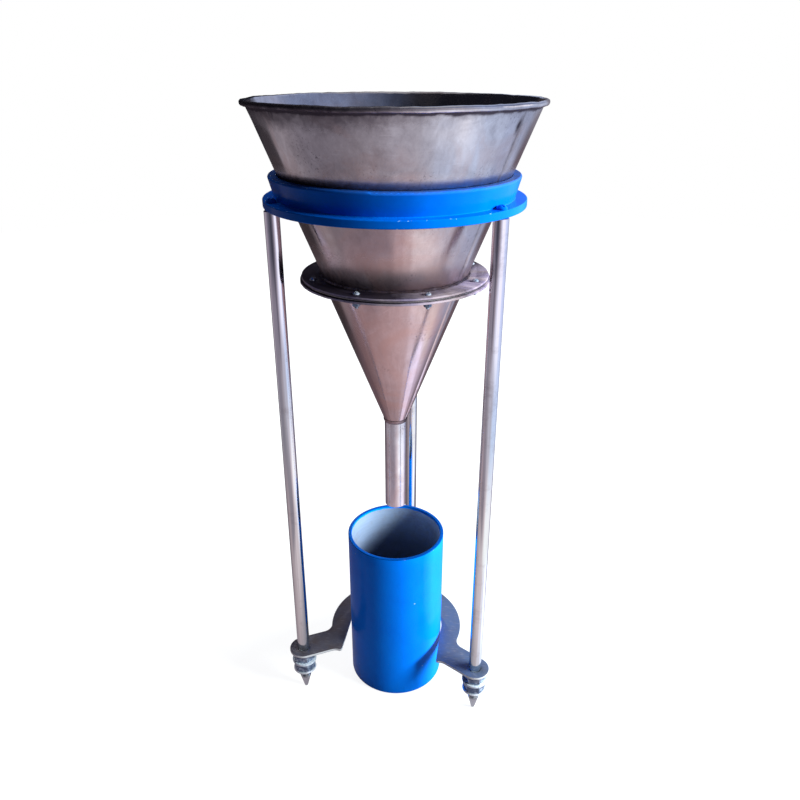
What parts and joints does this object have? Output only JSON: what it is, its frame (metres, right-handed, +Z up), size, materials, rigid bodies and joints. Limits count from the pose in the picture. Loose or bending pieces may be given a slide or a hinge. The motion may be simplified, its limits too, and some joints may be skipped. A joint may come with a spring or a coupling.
{
  "type": "bulk density apparatus",
  "caption": "Sieve funnel with a bolted flange joint, hanging in a ring on a rod tripod, over a cylindrical measure that slides out of a horseshoe base plate.",
  "frame": {"origin": "on the funnel's axis at floor level, where the leg points and the measure stand", "axes": "+Z up along the funnel's axis, +Y towards the rear leg, -Y the way the measure slides out"},
  "size_m": [0.2326, 0.2326, 0.5647],
  "materials": {
    "stainless_sheet": "worn mill finish with heat-stained welds",
    "sieve_steel": "punched sheet",
    "measure_steel": "turned",
    "blue_paint": "gloss enamel with small chips",
    "polished_rod": "polished",
    "dark_plate": "mill scale, bright cut edges",
    "zinc_hardware": "bright zinc plate",
    "gasket_rubber": "matt"
  },
  "bodies": {
    "stand": {"support_ring": "blue_paint", "leg_left": "polished_rod", "leg_right": "polished_rod", "leg_rear": "polished_rod", "leg_screws": "blue_paint", "base_plate": "dark_plate", "plate_nuts": "zinc_hardware"},
    "funnel": {"upper_cone": "stainless_sheet", "rim_wire": "stainless_sheet", "upper_flange": "stainless_sheet", "upper_gasket": "gasket_rubber", "sieve_plate": "sieve_steel", "lower_gasket": "gasket_rubber", "lower_flange": "stainless_sheet", "lower_cone": "stainless_sheet", "spout_tube": "stainless_sheet", "flange_screws": "zinc_hardware", "flange_nuts": "zinc_hardware"},
    "measure": {"measure_tube": "blue_paint", "measure_base": "measure_steel"},
    "foot_washer_left": {"foot_washer_left": "zinc_hardware"},
    "lock_nut_left": {"lock_nut_left": "zinc_hardware"},
    "foot_washer_right": {"foot_washer_right": "zinc_hardware"},
    "lock_nut_right": {"lock_nut_right": "zinc_hardware"},
    "foot_washer_rear": {"foot_washer_rear": "zinc_hardware"},
    "lock_nut_rear": {"lock_nut_rear": "zinc_hardware"}
  },
  "joints": [
    {"name": "funnel_lift", "type": "slide", "parent": "stand", "child": "funnel", "axis": [0, 0, 1], "range_m": [0, 0.32]},
    {"name": "measure_slide", "type": "slide", "parent": "stand", "child": "measure", "axis": [0, -1, 0], "range_m": [0, 0.17]},
    {"name": "washer_drop_left", "type": "slide", "parent": "stand", "child": "foot_washer_left", "axis": [0, 0, -1], "range_m": [0, 0.0106]},
    {"name": "lock_nut_turn_left", "type": "hinge", "parent": "foot_washer_left", "child": "lock_nut_left", "pos_m": [-0.08643, -0.0499, 0.031], "axis": [0, 0, -1], "range_deg": [0, 2160]},
    {"name": "washer_drop_right", "type": "slide", "parent": "stand", "child": "foot_washer_right", "axis": [0, 0, -1], "range_m": [0, 0.0106]},
    {"name": "lock_nut_turn_right", "type": "hinge", "parent": "foot_washer_right", "child": "lock_nut_right", "pos_m": [0.08643, -0.0499, 0.031], "axis": [0, 0, -1], "range_deg": [0, 2160]},
    {"name": "washer_drop_rear", "type": "slide", "parent": "stand", "child": "foot_washer_rear", "axis": [0, 0, -1], "range_m": [0, 0.0106]},
    {"name": "lock_nut_turn_rear", "type": "hinge", "parent": "foot_washer_rear", "child": "lock_nut_rear", "pos_m": [0, 0.0998, 0.031], "axis": [0, 0, -1], "range_deg": [0, 2160]}
  ],
  "couplings": [
    {"joint": "washer_drop_left", "follows": "lock_nut_turn_left", "m_per_rad": 0.00027852},
    {"joint": "washer_drop_right", "follows": "lock_nut_turn_right", "m_per_rad": 0.00027852},
    {"joint": "washer_drop_rear", "follows": "lock_nut_turn_rear", "m_per_rad": 0.00027852}
  ]
}
